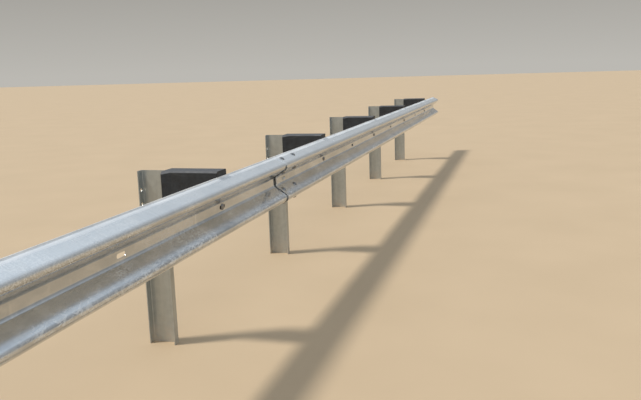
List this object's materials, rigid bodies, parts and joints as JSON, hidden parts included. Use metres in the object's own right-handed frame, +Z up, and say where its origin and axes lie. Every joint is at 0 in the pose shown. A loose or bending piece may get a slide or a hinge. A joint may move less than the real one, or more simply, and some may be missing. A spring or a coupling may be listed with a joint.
{
  "type": "highway guardrail section",
  "caption": "Run of W-profile steel guardrail: lapped and bolted rail panels on deep dark blockouts and galvanised channel posts, from ground level up.",
  "frame": {"origin": "middle of the web at the foot of the first post, at ground level", "axes": "+X along the rail from the first post to the last, -Y towards the traffic side, +Z up"},
  "size_m": [11.748, 0.5407, 0.944],
  "materials": {
    "galvanised_rail": "bright galvanised, light spangle and soft mottling",
    "galvanised_post": "dull grey-green galvanised with pale dust",
    "blockout": "matt dark grey recycled composite, dusty on top",
    "fastener": "dull galvanised"
  },
  "bodies": {
    "root": {"post_1": "galvanised_post", "post_2": "galvanised_post", "post_3": "galvanised_post", "post_4": "galvanised_post", "post_5": "galvanised_post", "post_6": "galvanised_post", "blockout_1": "blockout", "blockout_2": "blockout", "blockout_3": "blockout", "blockout_4": "blockout", "blockout_5": "blockout", "blockout_6": "blockout", "rail_near": "galvanised_rail", "rail_far": "galvanised_rail", "post_bolt_1": "fastener", "post_bolt_2": "fastener", "post_bolt_3": "fastener", "post_bolt_4": "fastener", "post_bolt_5": "fastener", "post_bolt_6": "fastener", "post_nut_1": "fastener", "post_nut_2": "fastener", "post_nut_3": "fastener", "post_nut_4": "fastener", "post_nut_5": "fastener", "post_nut_6": "fastener", "splice_bolts": "fastener", "splice_nuts": "fastener"}
  },
  "joints": []
}
